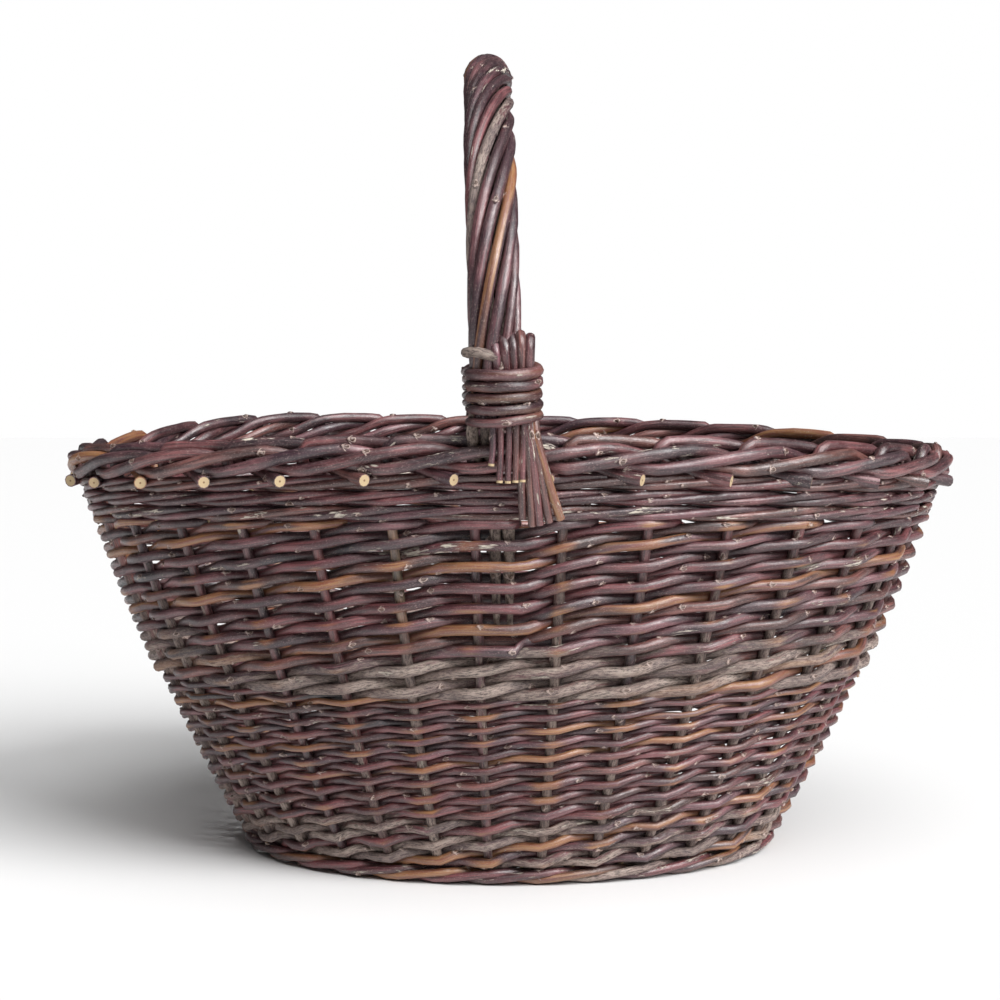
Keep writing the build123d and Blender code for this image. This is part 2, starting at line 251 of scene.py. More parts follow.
def straight_wand(rings):
    """A straight round wand one metre long and one metre in radius, with rings along it."""
    if rings in wands:
        return wands[rings]
    deselect()
    bpy.ops.mesh.primitive_cylinder_add(
        vertices=ROD_SIDES, radius=1, depth=1, end_fill_type="TRIFAN", location=(0, 0, 0.5)
    )
    wand = bpy.context.object
    bpy.ops.object.transform_apply(location=True, rotation=True, scale=True)
    bpy.ops.object.mode_set(mode="EDIT")
    bpy.ops.mesh.select_mode(type="EDGE")
    bpy.ops.mesh.select_all(action="DESELECT")
    bpy.ops.object.mode_set(mode="OBJECT")
    for edge in wand.data.edges:
        low, high = (wand.data.vertices[end].co.z for end in edge.vertices)
        edge.select = abs(low - high) > 0.5
    bpy.ops.object.mode_set(mode="EDIT")
    bpy.ops.mesh.subdivide(number_cuts=rings)
    bpy.ops.object.mode_set(mode="OBJECT")
    wands[rings] = wand.data
    bpy.data.objects.remove(wand)
    return wands[rings]


def bud_shape():
    """A small bud, lying flat on the bark and pointing along it."""
    if "bud" not in wands:
        deselect()
        bpy.ops.mesh.primitive_uv_sphere_add(segments=6, ring_count=5, radius=0.001)
        bud = bpy.context.object
        bpy.ops.transform.resize(value=(0.85, 0.95, 2.1))
        bpy.ops.object.transform_apply(location=True, rotation=True, scale=True)
        for vertex in bud.data.vertices:
            share = vertex.co.z / 0.0021
            vertex.co.y *= 1 - 0.35 * share
            vertex.co.x += 0.00035 * max(share, 0)
        wands["bud"] = bud.data
        bpy.data.objects.remove(bud)
    return wands["bud"]


def write_attribute(mesh, name, kind, values):
    """Give every vertex of a mesh a value."""
    field = "color" if kind == "FLOAT_COLOR" else "vector" if kind == "FLOAT_VECTOR" else "value"
    layer = mesh.attributes.new(name, kind, "POINT")
    layer.data.foreach_set(field, np.asarray(values, np.float32).ravel())


def mesh_points(mesh):
    """Places of a mesh's vertices, a row for each."""
    points = np.empty(len(mesh.vertices) * 3)
    mesh.vertices.foreach_get("co", points)
    return points.reshape(-1, 3)


def grow_wand(length, radius, bark, draw, bud_spacing, bends=()):
    """A straight wand of a length in metres, uneven, with buds and with its bark's attributes."""
    rings = max(8, 8 * round(length / RING_SPACING / 8))
    mesh = straight_wand(rings).copy()
    buds = []
    if bud_spacing:
        height = draw.uniform(0.2, 1.0) * bud_spacing
        turn = draw.uniform(0, math.tau)
        while height < length - 0.004:
            buds.append((height, turn))
            height += max(BUD_LEAST_SPACING, bud_spacing * draw.uniform(0.6, 1.4))
            turn += BUD_TURN + draw.uniform(-0.3, 0.3)
    points = mesh_points(mesh)
    heights = points[:, 2] * length
    beats = [(draw.uniform(60, 260), draw.uniform(0, math.tau)) for _ in range(3)]
    swell = 1 + UNEVEN * sum(np.sin(heights * rate + shift) for rate, shift in beats)
    for height, turn in buds:
        swell += BUD_SWELL * np.exp(-(((heights - height) / BUD_SWELL_LENGTH) ** 2))
    points[:, :2] *= (radius * swell)[:, None]
    points[:, 2] = heights
    mesh.vertices.foreach_set("co", points.ravel())
    if buds:
        shape = bmesh.new()
        shape.from_mesh(mesh)
        for height, turn in buds:
            bud = bud_shape().copy()
            place = Matrix.Rotation(turn, 4, "Z") @ Matrix.Translation((radius * 0.97, 0, height))
            bud.transform(place @ Matrix.Scale(min(1.0, radius / 0.0021), 4))
            shape.from_mesh(bud)
            bpy.data.meshes.remove(bud)
        shape.to_mesh(mesh)
        shape.free()
    points = mesh_points(mesh)
    heights = points[:, 2]
    turns = np.arctan2(points[:, 1], points[:, 0])
    scar = np.zeros((len(points), 3))
    for height, turn in buds:
        around = (turns - turn + math.pi) % math.tau - math.pi
        near = (np.abs(heights - height) < SCAR_LENGTH) & (np.abs(around) < SCAR_TURN)
        scar[near, 0] = around[near] * radius / MM
        scar[near, 1] = (heights[near] - height) / MM
        scar[near, 2] = 1
    rough = np.full(len(points), bark["rough"])
    # Share of gold: the rod's own orange bark, plus a painted highlight at each front bend
    worn = np.full(len(points), bark["orange"])
    for bend in bends:
        worn += 0.6 * bark.get("worn", 0) * np.exp(-(((heights - bend) / BEND_SHEEN_LENGTH) ** 2))
    peel = np.full(len(points), bark["peel"])
    if "torn" in bark:
        middle, half = bark["torn"]
        peel += 1.15 * np.exp(-(((heights - middle) / half) ** 4))
    shift = np.array([draw.uniform(-400, 400), draw.uniform(-400, 400), 0])
    core = np.minimum(np.hypot(points[:, 0], points[:, 1]) / (radius * 0.93), 1)
    write_attribute(mesh, "bark_place", "FLOAT_VECTOR", points / MM + shift)
    write_attribute(mesh, "core", "FLOAT", core)
    write_attribute(mesh, "scar", "FLOAT_VECTOR", scar)
    colours = np.tile([*bark["colour"], 1], (len(points), 1))
    if "stripped" in bark:
        middle, half = bark["stripped"]
        bare = np.exp(-(((heights - middle) / half) ** 6))[:, None]
        colours += bare * (np.array([*bpy.context.scene.basket_bark.wood, 1]) - colours)
        rough *= 1 - bare[:, 0]
    write_attribute(mesh, "rod_colour", "FLOAT_COLOR", colours)
    write_attribute(mesh, "rod_finish", "FLOAT_VECTOR", np.column_stack((rough, peel, worn)))
    return mesh


def draw_path(knots, widths, tightness):
    """A smooth path through knots, with the share of its thickness at each."""
    bpy.ops.curve.primitive_bezier_curve_add(location=(0, 0, 0))
    path = bpy.context.object
    path.data.resolution_u = 8
    path.data.use_stretch = True
    path.data.use_deform_bounds = True
    spline = path.data.splines[0]
    spline.bezier_points.add(len(knots) - len(spline.bezier_points))
    last = len(knots) - 1
    for number, (knot, place, width) in enumerate(zip(spline.bezier_points, knots, widths)):
        before = knots[max(number - 1, 0)]
        after = knots[min(number + 1, last)]
        heading = (after - before).normalized()
        knot.handle_left_type = "FREE"
        knot.handle_right_type = "FREE"
        knot.co = place
        knot.handle_left = place - heading * ((place - before).length or 0.001) * tightness
        knot.handle_right = place + heading * ((after - place).length or 0.001) * tightness
        knot.radius = width
    return path


def bend_rod(knots, diameters, bark, draw, bud_spacing=0.04, tightness=0.3, worn=()):
    """One rod along its knots, as an object of its own."""
    butt = diameters[0] / 2
    path = draw_path(knots, [diameter / 2 / butt for diameter in diameters], tightness)
    length = path.data.splines[0].calc_length()
    runs = [(after - before).length for before, after in zip(knots, knots[1:])]
    # Places along the wand of the painted gold highlights at its bends
    bends = [length * sum(runs[:knot]) / sum(runs) for knot in worn]
    mesh = grow_wand(length, butt, bark, draw, bud_spacing, bends)
    rod = bpy.data.objects.new("rod", mesh)
    bpy.context.scene.collection.objects.link(rod)
    deselect()
    rod.select_set(True)
    bpy.context.view_layer.objects.active = rod
    bend = rod.modifiers.new("Bend", "CURVE")
    bend.object = path
    bend.deform_axis = "POS_Z"
    bpy.ops.object.modifier_apply(modifier="Bend")
    bpy.data.objects.remove(path)
    return rod


def finish_rods(name, node, rods, material):
    """Join rods into one piece that stands for a node of the frame."""
    deselect()
    for rod in rods:
        rod.select_set(True)
    bpy.context.view_layer.objects.active = rods[0]
    if len(rods) > 1:
        bpy.ops.object.join()
    piece = bpy.context.object
    piece.name = name
    piece.data.name = name
    bpy.ops.object.shade_smooth_by_angle(angle=math.radians(62))
    piece.data.materials.clear()
    piece.data.materials.append(material)
    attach(piece, "root")
    if node:
        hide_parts(node)
    return piece


# Bark and wood


class Value:
    """A node's output, so that sums on it are written as expressions."""

    def __init__(self, recipe, socket):
        self.recipe = recipe
        self.socket = socket

    def __add__(self, other):
        return self.recipe.math("ADD", self, other)

    def __sub__(self, other):
        return self.recipe.math("SUBTRACT", self, other)

    def __rsub__(self, other):
        return self.recipe.math("SUBTRACT", other, self)

    def __mul__(self, other):
        return self.recipe.math("MULTIPLY", self, other)

    def __lt__(self, other):
        return self.recipe.math("LESS_THAN", self, other)

    __radd__ = __add__
    __rmul__ = __mul__


class Recipe:
    """A material's node tree."""

    def __init__(self, name):
        self.material = bpy.data.materials.new(name)
        self.material.use_nodes = True
        self.tree = self.material.node_tree
        self.skin = self.tree.nodes["Principled BSDF"]

    def node(self, kind, settings=None, inputs=None, output=0):
        """Add a node with its settings and inputs, and give one of its outputs."""
        made = self.tree.nodes.new(kind)
        for key, value in (settings or {}).items():
            setattr(made, key, value)
        self.feed(made, inputs or {})
        return Value(self, made.outputs[output])

    def feed(self, node, inputs):
        """Set or link a node's inputs."""
        for key, value in inputs.items():
            if isinstance(value, Value):
                self.tree.links.new(value.socket, node.inputs[key])
            else:
                node.inputs[key].default_value = value

    def attribute(self, name, output):
        """An attribute of the piece."""
        return self.node("ShaderNodeAttribute", {"attribute_name": name}, output=output)

    def math(self, operation, first, second=0.0):
        """One Math node."""
        return self.node("ShaderNodeMath", {"operation": operation}, {0: first, 1: second})

    def parts(self, vector):
        """The three components of a vector."""
        split = self.node("ShaderNodeSeparateXYZ", {}, {0: vector}).socket.node
        return [Value(self, socket) for socket in split.outputs]

    def stretch(self, vector, scale):
        """A place scaled differently along each axis."""
        return self.node("ShaderNodeVectorMath", {"operation": "MULTIPLY"}, {0: vector, 1: scale})

    def noise(self, place, scale, detail=2.0, roughness=0.5):
        """Cloudy noise from 0 to 1, scaled along each axis."""
        vector = self.stretch(place, scale)
        inputs = {"Vector": vector, "Scale": 1.0, "Detail": detail, "Roughness": roughness}
        return self.node("ShaderNodeTexNoise", {}, inputs)

    def ramp(self, value, low, high, start=0.0, end=1.0):
        """A smooth step of a value between two limits."""
        return self.node(
            "ShaderNodeMapRange",
            {"interpolation_type": "SMOOTHSTEP"},
            {"Value": value, "From Min": low, "From Max": high, "To Min": start, "To Max": end},
        )

    def mix(self, factor, first, second, blend="MIX"):
        """Two colours mixed."""
        first, second = (each if isinstance(each, Value) else (*each, 1) for each in (first, second))
        return self.node(
            "ShaderNodeMix", {"data_type": "RGBA", "blend_type": blend}, {0: factor, 6: first, 7: second}, 2
        )


def bark_material(name, tint, rough_bark, shine):
    """Willow bark that follows each rod, with cut wood at its ends."""
    bark = bpy.context.scene.basket_bark
    recipe = Recipe(name)
    place = recipe.attribute("bark_place", 1)
    core = recipe.attribute("core", 2)
    rod_colour = recipe.attribute("rod_colour", 0)
    # The third share is the rod's orange bark together with the painted highlight at its front bends
    rough_share, peel_share, gold_and_sheen_share = recipe.parts(recipe.attribute("rod_finish", 1))
    across, along, near_bud = recipe.parts(recipe.attribute("scar", 1))
    near_bud = recipe.ramp(near_bud, 0.9, 0.99)
    from_butt = recipe.parts(place)[2]

    # Dark and light bark, streaked along the rod, gold where the sun has weathered it, and a painted gold
    # highlight at the rod's front bends
    grain = recipe.noise(place, (1.3, 1.3, 0.05), 3.0, 0.6)
    clouds = recipe.noise(place, (0.10, 0.10, 0.035), 3.0)
    patches = recipe.noise(place, (0.25, 0.25, 0.014), 1.0)
    skin = recipe.noise(place, (0.9, 0.9, 0.22), 4.0, 0.65)

    dark = recipe.mix(0.72, rod_colour, (0.010, 0.003, 0.006))
    base = recipe.mix(recipe.ramp(clouds, 0.38, 0.66), dark, recipe.mix(0.5, rod_colour, tint))
    base = recipe.mix(recipe.ramp(grain, 0.60, 0.36, 0.0, 0.7), base, (0.010, 0.004, 0.007))
    # Gold patches of the bark, and the painted gold highlight at the front bends
    gold_patches_and_sheen = recipe.ramp(patches + gold_and_sheen_share * 0.35, 0.56, 0.80) * recipe.ramp(gold_and_sheen_share, 0.1, 0.5)
    gold = recipe.mix(recipe.ramp(grain, 0.35, 0.65), bark.orange, (0.20, 0.06, 0.03))
    base = recipe.mix(gold_patches_and_sheen, base, gold)

    # Old rough bark near the butt, furrowed along the rod
    furrows = recipe.noise(place, (1.3, 1.3, 0.30), 6.0, 0.75)
    old = recipe.ramp(from_butt + clouds * 150, 340, 170) * rough_share
    old = recipe.ramp(old + (skin - 0.5) * 1.1 + (patches - 0.5) * 0.9, 0.30, 0.62)
    old_colour = recipe.mix(recipe.ramp(furrows, 0.38, 0.58), (0.055, 0.036, 0.032), bark.rough)
    old_colour = recipe.mix(recipe.ramp(clouds, 0.40, 0.62, 0.5, 0.0), old_colour, base)
    base = recipe.mix(old, base, old_colour)

    # Pale specks and flecks, and torn dry skin
    specks = recipe.node(
        "ShaderNodeTexVoronoi",
        {"feature": "F1"},
        {"Vector": recipe.stretch(place, (0.5, 0.5, 0.30)), "Scale": 1.0},
    )
    speck = recipe.ramp(specks, 0.13, 0.06) * recipe.ramp(patches, 0.40, 0.60, 0.0, 0.6)
    base = recipe.mix(speck, base, (0.42, 0.29, 0.25))
    flecks = recipe.noise(place, (2.4, 2.4, 1.1), 3.0, 0.6)
    base = recipe.mix(recipe.ramp(flecks, 0.54, 0.70, 0.0, 0.55), base, (0.40, 0.27, 0.25))
    torn = recipe.noise(place, (0.35, 0.35, 0.06), 5.0, 0.7)
    peel = recipe.ramp(torn + peel_share * 0.14, 0.70, 0.73)
    dry = recipe.mix(recipe.ramp(skin, 0.3, 0.6), (0.30, 0.24, 0.20), bark.peel)
    base = recipe.mix(peel, base, dry)

    # Leaf scars: a thin pale chevron and ring round each bud
    wobble = recipe.noise(place, (0.8, 0.8, 0.8), 2.0) - 0.5
    across = recipe.math("ABSOLUTE", across) + wobble * 1.1
    along = along + wobble * 1.9
    chevron = recipe.math("ABSOLUTE", along + 1.0 - across * 0.8)
    ring = recipe.math("SQRT", across * across * 1.3 + (along - 1.0) * (along - 1.0) * 0.45)
    lines = recipe.ramp(chevron, 0.42, 0.16) * recipe.ramp(across, 2.3, 1.9)
    lines = recipe.math("MAXIMUM", lines, recipe.ramp(recipe.math("ABSOLUTE", ring - 1.0), 0.30, 0.10))
    lines = lines * near_bud * recipe.ramp(skin, 0.30, 0.44)
    hollow = recipe.ramp(ring, 0.95, 0.75) * near_bud
    base = recipe.mix(hollow * 0.7, base, (0.10, 0.055, 0.035))
    base = recipe.mix(lines * 0.85, base, bark.scar)

    # Cut ends: pale wood with rings and a dark pith
    wood = recipe.mix(recipe.ramp(core, 0.14, 0.20), bark.pith, bark.wood)
    cut = recipe.math("MAXIMUM", core < 0.86, from_butt < 1.1)
    recipe.feed(recipe.skin, {"Base Color": recipe.mix(cut, base, wood)})
    dull = recipe.ramp(skin, 0.3, 0.7, shine - 0.05, shine + 0.2) + old * 0.30 + peel * 0.35 + cut * 0.4
    recipe.feed(recipe.skin, {"Roughness": dull})
    relief = grain * 0.3 + skin * 0.5 + flecks * 0.25 + old * furrows * rough_bark + peel * 0.8 + lines * 0.6
    bump = recipe.node("ShaderNodeBump", {}, {"Strength": 0.85, "Distance": 0.0005, "Height": relief})
    recipe.feed(recipe.skin, {"Normal": bump})
    recipe.skin.inputs["Specular IOR Level"].default_value = 1.0
    return recipe.material


def pick_bark(draw, rough=0.5, choices=None):
    """Bark of one rod: its colour, how much of it is rough, peeling or orange, and how strong the painted
    gold highlight at its bends is.
    """
    bark = bpy.context.scene.basket_bark
    kinds = choices or (("maroon", 9), ("purple", 6), ("brown", 3.2), ("slate", 1.0))
    names = [name for name, weight in kinds]
    name = draw.choices(names, [weight for name, weight in kinds])[0]
    shade = draw.uniform(0.7, 1.35)
    return {
        "colour": [min(1, part * shade * draw.uniform(0.92, 1.08)) for part in getattr(bark, name)],
        "rough": draw.uniform(0.4, 1.0) if draw.random() < rough else 0.0,
        "peel": draw.uniform(0.4, 0.9) if draw.random() < 0.10 else draw.uniform(0, 0.25),
        "orange": draw.uniform(0.4, 0.8) if draw.random() < 0.14 else draw.uniform(0, 0.15),
        # Strength of the painted highlight at the rod's front bends
        "worn": draw.uniform(0, 1) ** 2,
    }


# Weaving


def pass_by(wall, place, height, face, diameter):
    """Knots where a woven rod passes a stake, or a stake with the bow beside it."""
    sizes, handle = wall.sizes, bpy.context.scene.basket_handle
    reach = face * (sizes.stake / 2 + diameter / 2 + TOUCH)
    point, along, out = wall.frame(place, height)
    if place % HALF or height < BOW_POINT * sizes.wall_height - 3 * diameter:
        return [point + out * reach]
    reach = face * (handle.bow / 2 + diameter / 2 + TOUCH)
    beyond = handle.bow_offset + handle.bow + diameter / 2
    return [point - along * sizes.stake / 2 + out * reach, point + along * beyond + out * reach]


def rand_rod(wall, start, bottom, crossings, butt, tip, dip, bark, draw):
    """One rod that goes before one stake and behind one, climbing a layer at every stake."""
    gap = bpy.context.scene.basket_rods.gap
    thick = draw.uniform(*ROD_THICKNESS)
    height = bottom
    layer = butt + gap
    inside = -(wall.sizes.stake / 2 + butt / 2 + TOUCH)
    knots = [
        wall.spot(start - BUTT_PLACE, inside, height - layer * 1.2),
        wall.spot(start - 1, inside, height - layer - dip),
    ]
    diameters = [butt * thick * BUTT_SHARE] * 2
    worn = []
    for crossing in range(crossings):
        diameter = butt + (tip - butt) * crossing / (crossings - 1)
        face = -1 if crossing % 2 else 1
        sag = dip * (diameter / butt) ** 2 + (BEHIND_DROP if face < 0 else 0) + draw.uniform(-0.0005, 0.0005)
        # No knot in a bay where the bow stands
        if (start + crossing - 1) % HALF or height < BOW_POINT * wall.sizes.wall_height:
            middle = height - diameter / 2 + draw.uniform(-0.0002, 0.0002)
            knots.append(wall.spot(start + crossing - 0.5, 0, middle))
            diameters.append(diameter * thick)
        # Where the rod bends round the front of a stake it gets a painted gold highlight
        if face > 0:
            worn.append(len(knots))
        passed = pass_by(wall, start + crossing, height - sag, face, diameter)
        knots += passed
        share = FRONT_SHARE if face > 0 else BEHIND_SHARE
        diameters += [diameter * thick * share * draw.uniform(0.97, 1.03)] * len(passed)
        height += diameter + gap
    last = height - tip - gap
    knots.append(wall.spot(start + crossings - 1 + TIP_PLACE, -(wall.sizes.stake / 2 + tip / 2), last))
    diameters.append(tip * thick)
    return bend_rod(knots, diameters, bark, draw, bud_spacing=0.03, tightness=0.15, worn=worn)


def wale_rod(wall, phase, height, diameter, draw):
    """One rod of a three-rod wale: before two stakes, rising, then behind one and down again."""
    rods = bpy.context.scene.basket_rods
    half_layer = rods.wale_pitch / 2
    knots = []
    for first in range(phase, phase + STAKES, 3):
        knots += pass_by(wall, first, height - half_layer, 1, diameter)
        knots += pass_by(wall, first + 1, height + half_layer, 1, diameter)
        knots.append(wall.spot(first + 1.5, 0, height + half_layer))
        knots += pass_by(wall, first + 2, height, -1, diameter)
        knots.append(wall.spot(first + 2.5, 0, height - half_layer))
    # It ends in the last bay, close to where it comes out from behind the stake
    knots = knots[:-2] + [knots[-2] + (knots[-3] - knots[-2]) * 0.1]
    knots.insert(0, wall.spot(phase - 0.5, 0, height - half_layer))
    knots.insert(0, wall.spot(phase - 0.93, -(wall.sizes.stake + diameter) / 2, height))
    return bend_rod(knots, [diameter] * len(knots), pick_bark(draw, 0.05), draw, bud_spacing=0.032)


# The border, in millimetres: how far a stake's top lies out of or into the line of the stakes,
# how much higher the border lies over a part of the back, and for each bay that a top crosses
# its knots, as share of the bay, distance out and height
BORDER_OUT = 6.2
BORDER_DEPTH = 20.5
LIFT = 6.5
LIFT_PLACE = 19.2
LIFT_SPREAD = 2.3
BORDER_BAYS = (
    ((0, 0, 14.0), (0.12, -1.2, 18.6)),
    ((0, -BORDER_OUT, 17.6), (0.5, 0, 10)),
    ((0, BORDER_OUT, 7),),
    ((0, BORDER_OUT, 13.8), (0.5, 0, 15.4)),
    ((0, -BORDER_OUT, 11.8), (0.46, -1, 5.3)),
)
BAYS_BESIDE_BOW = (
    ((0, 0, 14.0), (0.12, -3, 18.6)),
    ((0, -BORDER_OUT, 17.6), (0.53, -BORDER_OUT, 11), (0.76, 0, 9)),
    ((0, BORDER_OUT, 7), (0.53, BORDER_OUT, 10.5)),
    ((0, BORDER_OUT, 13.8), (0.53, BORDER_OUT, 16.2), (0.78, 0, 15.4)),
    ((0, -BORDER_OUT, 11.8), (0.5, -BORDER_OUT, 7), (0.72, 0, 5)),
)
CUT_END = (4.8, BORDER_OUT + 4.6, 2.6)
CUT_END_SHARE = 1.12


def border_run(wall, stake):
    """Knots of a stake's top in the border, from its upper bend to its cut end."""
    run = []
    for bay in range(len(BORDER_BAYS)):
        bays = BORDER_BAYS if (stake + bay) % HALF else BAYS_BESIDE_BOW
        run += [(stake + bay + share, out, height) for share, out, height in bays[bay]]
    run.append((stake + CUT_END[0], *CUT_END[1:]))
    bottom = wall.sizes.wall_height - BORDER_DEPTH * MM
    knots = []
    for place, out, height in run:
        lift = LIFT * math.exp(-(((place % STAKES - LIFT_PLACE) / LIFT_SPREAD) ** 2))
        knots.append(wall.spot(place, out * MM, bottom + (height + lift) * MM))
    return knots


def side_stake(wall, stake, draw):
    """One stake: its foot in the base, its upright and its run in the border."""
    sizes = wall.sizes
    point, _, out = wall.frame(stake, sizes.base_height)
    knots = [point - out * sizes.foot, point - out * 0.006]
    knots += [wall.spot(stake, 0, sizes.wall_height * share) for share in UPRIGHT_SHARES]
    upright = len(knots)
    knots += border_run(wall, stake)
    diameters = [sizes.stake] * upright + [sizes.border] * (len(knots) - upright)
    diameters[-1] *= CUT_END_SHARE
    kinds = (("maroon", 6), ("purple", 6), ("brown", 3))
    bark = pick_bark(draw, 0.9, kinds)
    if stake == STAKES - 1:
        bark |= {"stripped": (0.190, 0.036), "rough": 1.0}
    return bend_rod(knots, diameters, bark, draw, tightness=0.26)


class StakesOperator(bpy.types.Operator):
    """Stakes, which rise from the base and are turned down into the border"""

    bl_idname = "basket.stakes"
    bl_label = "Stakes and border"

    def execute(self, context):
        wall = Wall()
        material = bark_material("stake_bark", (0.31, 0.13, 0.125), 1.2, 0.36)
        draw = random.Random(11)
        stakes = [side_stake(wall, stake, draw) for stake in range(STAKES)]
        groups = {
            "front": stakes[:5] + stakes[26:],
            "right_end": stakes[5:11],
            "back": stakes[11:20],
            "left_end": stakes[20:26],
        }
        for name, group in groups.items():
            finish_rods(f"{name}_stakes_and_border", f"{name}_stakes", group, material)
        return {"FINISHED"}


class RandOperator(bpy.types.Operator):
    """Two sets of rods woven one by one up the wall"""

    bl_idname = "basket.rand_rods"
    bl_label = "Woven rods"

    def execute(self, context):
        wall = Wall()
        rods = context.scene.basket_rods
        material = bark_material("woven_bark", (0.25, 0.09, 0.09), 1.4, 0.34)
        draw = random.Random(5)
        parts = ("bottom", "crossings", "butt", "tip", "dip")
        sets = {level: [getattr(rods, f"{level}_{part}") for part in parts] for level in ("lower", "upper")}
        for level, sizes in sets.items():
            barks = [pick_bark(draw, 0.6 if level == "lower" else 0.9) for _ in range(STAKES)]
            # The lower rods get stronger painted highlights at their bends
            if level == "lower":
                for bark in barks:
                    bark["worn"] = math.sqrt(bark["worn"])
            if level == "upper":
                barks[15] |= {"colour": list(context.scene.basket_bark.slate), "orange": 0.0, "worn": 0.0}
                barks[16] |= {"torn": (0.565, 0.036)}
                barks[23] |= {"torn": (0.490, 0.028)}
            made = [rand_rod(wall, start, *sizes, barks[start], draw) for start in range(STAKES)]
            for side, first, last in (("front", 0, 8), ("right", 8, 15), ("back", 15, 23), ("left", 23, 30)):
                node = f"{level}_rand_rods_from_{side}"
                finish_rods(f"{level}_weave_from_{side}", node, made[first:last], material)
        return {"FINISHED"}


class WalesOperator(bpy.types.Operator):
    """Wales under the border and round the foot of the wall"""

    bl_idname = "basket.wales"
    bl_label = "Wales"

    def execute(self, context):
        wall = Wall()
        rods = context.scene.basket_rods
        material = bark_material("wale_bark", (0.20, 0.065, 0.065), 1.2, 0.34)
        draw = random.Random(3)
        bottom = [wale_rod(wall, phase, 0.0047, 0.0041, draw) for phase in range(3)]
        finish_rods("bottom_wale", "bottom_wale_rods", bottom, material)
        top = [
            wale_rod(wall, phase, rods.top_wale + level * 2 * rods.wale_pitch, rods.wale, draw)
            for level in range(3)
            for phase in range(3)
        ]
        finish_rods("lower_top_wale", "lower_top_wale_rods", top[:5], material)
        finish_rods("upper_top_wale", "upper_top_wale_rods", top[5:], material)
        return {"FINISHED"}


# Base: its sticks, its rods and the bare oval in its middle

CROSS_STICKS = 5
CROSS_PITCH = 0.024
CROSS_STICK = 0.009
LONG_STICK = 0.0055
FAN = (12, 36)
BASE_ROD = 0.005
EYE = (0.080, 0.022)
INNER_ROUNDS = 7
OUTER_MARGINS = (0.0095, 0.0157, 0.022)


def base_edge(wall, margin):
    """Half length and half width of the base's oval inside the line of the stakes."""
    sizes = wall.sizes
    height = sizes.base_height
    return (
        wall.half(sizes.base_half_length, sizes.rim_half_length, height) - margin,
        wall.half(sizes.base_half_width, sizes.rim_half_width, height) - margin,
    )


def base_round(wall, length, width, spokes, turn, draw):
    """One round of the base, over one spoke and under the next."""
    knots = []
    for angle, half, number in spokes:
        reach = (half + BASE_ROD / 2 + TOUCH) * (1 if (number + turn) % 2 else -1)
        knots.append(
            Vector((length * math.sin(angle), -width * math.cos(angle), wall.sizes.base_height + reach))
        )
    middle = (knots[0] + knots[-1]) / 2
    knots.insert(0, knots[0] + (middle - knots[0]) * 0.9)
    knots.append(knots[-1] + (middle - knots[-1]) * 0.9)
    kinds = (("maroon", 3), ("brown", 4), ("purple", 2))
    return bend_rod(knots, [BASE_ROD * 0.96] * len(knots), pick_bark(draw, 0.7, kinds), draw)


def stick_spokes(length):
    """Angle, half height and number of each stick that a round crosses; a fan has one number."""
    spokes = []
    for number in range(CROSS_STICKS):
        x = (number - (CROSS_STICKS - 1) / 2) * CROSS_PITCH
        tilt = math.acos(x / length)
        spokes.append((math.pi / 2 - tilt, CROSS_STICK / 2, number))
        spokes.append((math.pi / 2 + tilt, CROSS_STICK / 2, -number))
    for angle in (side * spread for spread in FAN for side in (-1, 1)):
        turn = math.radians(angle)
        spokes.append((math.pi / 2 + turn, LONG_STICK / 2, CROSS_STICKS))
        spokes.append((-math.pi / 2 + turn, LONG_STICK / 2, -1))
    return sorted((angle % math.tau, half, number) for angle, half, number in spokes)


class BaseOperator(bpy.types.Operator):
    """Base of crossed sticks with rods woven round them"""

    bl_idname = "basket.base"
    bl_label = "Base"

    def execute(self, context):
        wall = Wall()
        draw = random.Random(8)
        material = bark_material("base_bark", (0.13, 0.05, 0.035), 1.4, 0.42)
        height = wall.sizes.base_height
        margin = wall.sizes.foot + 0.0005
        length, width = base_edge(wall, margin)
        kinds = (("brown", 4), ("maroon", 3))
        across = []
        for number in range(CROSS_STICKS):
            x = (number - (CROSS_STICKS - 1) / 2) * CROSS_PITCH
            half = width * math.sqrt(1 - (x / length) ** 2)
            knots = [Vector((x, share * half, height)) for share in (-1, -0.33, 0.33, 1)]
            across.append(bend_rod(knots, [CROSS_STICK * 0.94] * 4, pick_bark(draw, 1, kinds), draw))
        finish_rods("base_cross_sticks_bark", "base_cross_sticks", across, material)
        along = []
        for angle in (side * spread for spread in FAN for side in (-1, 1)):
            turn = math.radians(angle)
            eye_length, eye_width = EYE[0] - BASE_ROD, EYE[1] - BASE_ROD
            ends = [(-length, width), (-eye_length, eye_width), (eye_length, eye_width), (length, width)]
            knots = [Vector((run * math.cos(turn), side * math.sin(turn), height)) for run, side in ends]
            along.append(bend_rod(knots, [LONG_STICK] * 4, pick_bark(draw, 1, kinds), draw, tightness=0.15))
        finish_rods("base_long_sticks_bark", "base_long_sticks", along, material)
        last_length, last_width = base_edge(wall, margin + BASE_ROD / 2)
        rounds = []
        for number in range(INNER_ROUNDS):
            share = number / (INNER_ROUNDS - 1)
            round_length = EYE[0] + (last_length - EYE[0]) * share
            round_width = EYE[1] + (last_width - EYE[1]) * share
            spokes = stick_spokes(round_length)
            rounds.append(base_round(wall, round_length, round_width, spokes, number, draw))
        finish_rods("inner_base_weave", "inner_base_rods", rounds, material)
        feet = [(wall.angle(stake), wall.sizes.stake / 2, stake) for stake in range(STAKES)]
        rounds = []
        for number, margin in enumerate(OUTER_MARGINS):
            round_length, round_width = base_edge(wall, margin)
            rounds.append(base_round(wall, round_length, round_width, feet, number, draw))
        finish_rods("outer_base_weave", "outer_base_rods", rounds, material)
        return {"FINISHED"}


# Handle: how far its sticks are pushed aside at their feet, how a strand winds, how a collar does

